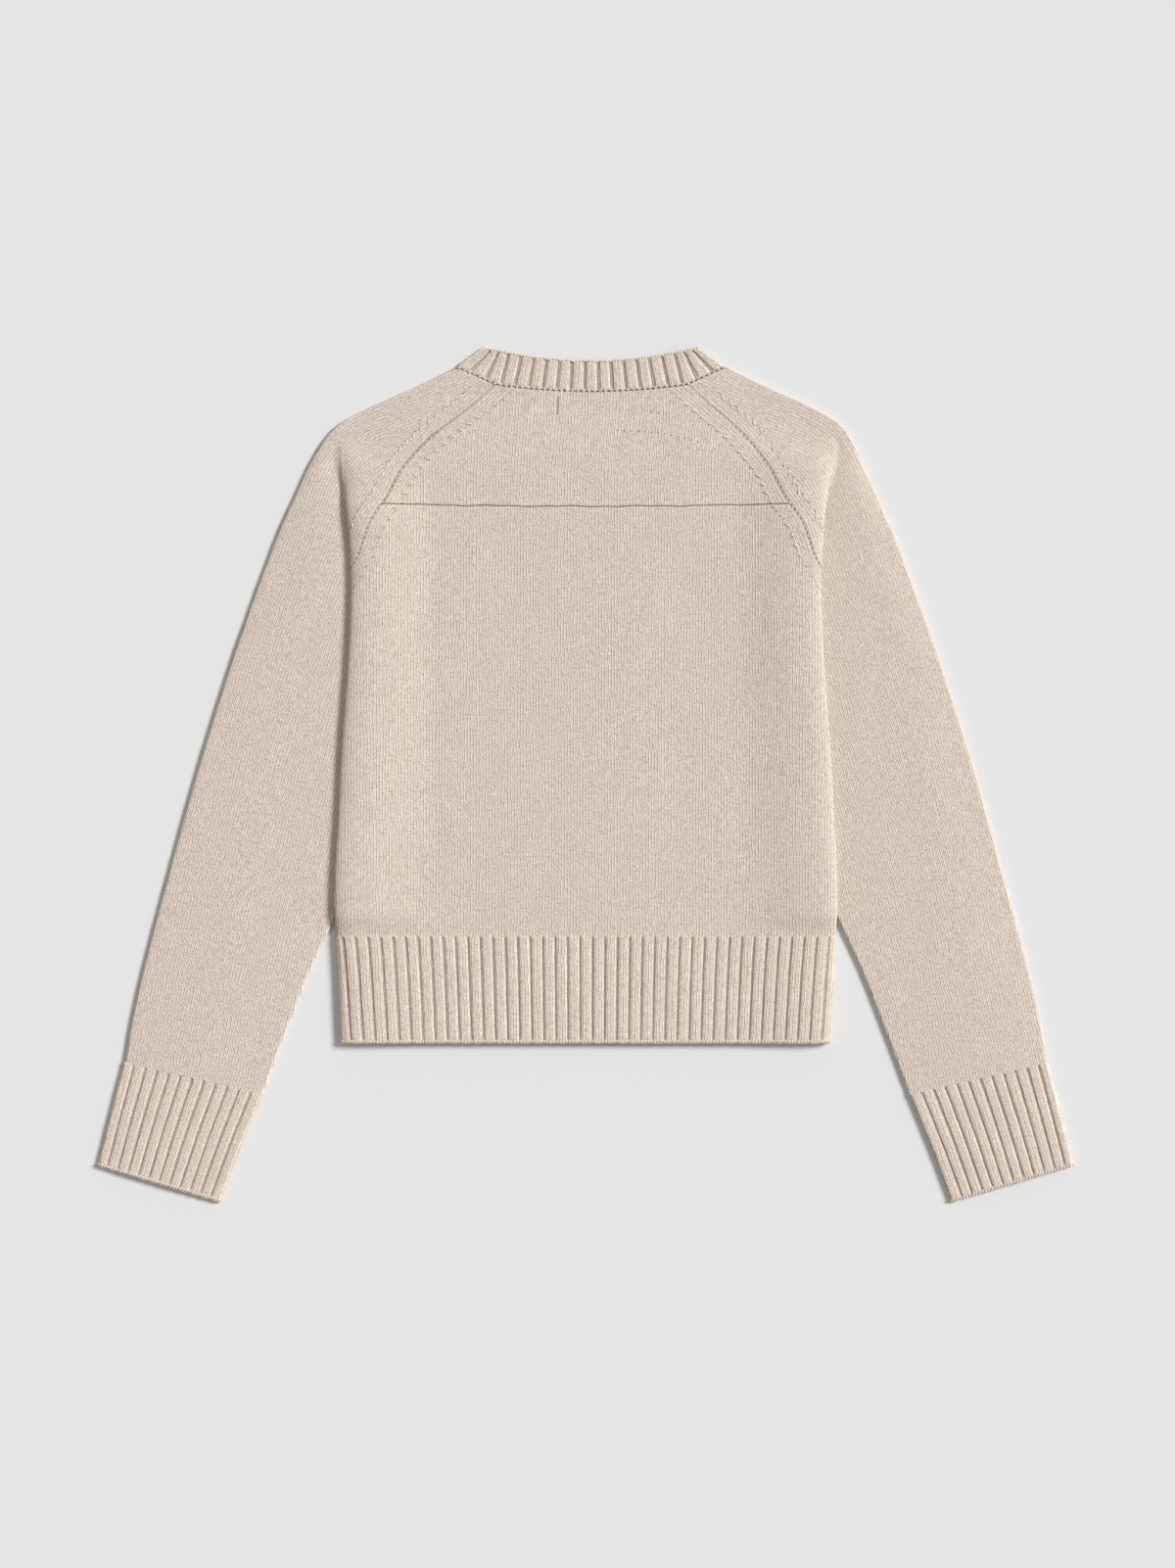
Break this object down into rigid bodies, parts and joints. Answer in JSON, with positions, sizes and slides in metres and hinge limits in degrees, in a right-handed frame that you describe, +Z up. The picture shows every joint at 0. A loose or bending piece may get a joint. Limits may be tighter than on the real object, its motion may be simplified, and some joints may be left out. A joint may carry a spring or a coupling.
{
  "type": "knitted cardigan",
  "caption": "Oatmeal raglan crew-neck knitted cardigan laid flat with its back up, with ribbed hem, cuffs and neckband, a back yoke seam and buttoned front bands",
  "frame": {"origin": "middle of the garment's outline on the surface it lies on", "axes": "+Z up from the surface, +Y from the hem to the neck, +X towards the wearer's right sleeve, the back of the garment up"},
  "size_m": [0.7476, 0.656, 0.0135],
  "materials": {
    "plain_knit": "soft oatmeal wool and cotton plain knitting, matt with a little nap",
    "rib_knit": "the same yarn knitted in two-by-two rib, with deep grooves",
    "button": "satin beige resin"
  },
  "bodies": {
    "root": {"back": "plain_knit", "back_yoke": "plain_knit", "front_left": "plain_knit", "front_right": "plain_knit", "sleeve_left": "plain_knit", "sleeve_right": "plain_knit", "hem_back": "rib_knit", "hem_front_left": "rib_knit", "hem_front_right": "rib_knit", "cuff_left": "rib_knit", "cuff_right": "rib_knit", "neckband": "rib_knit", "button_band": "rib_knit", "buttonhole_band": "rib_knit", "button_1": "button", "button_2": "button", "button_3": "button", "button_4": "button", "button_5": "button", "button_6": "button", "button_7": "button"}
  },
  "joints": []
}
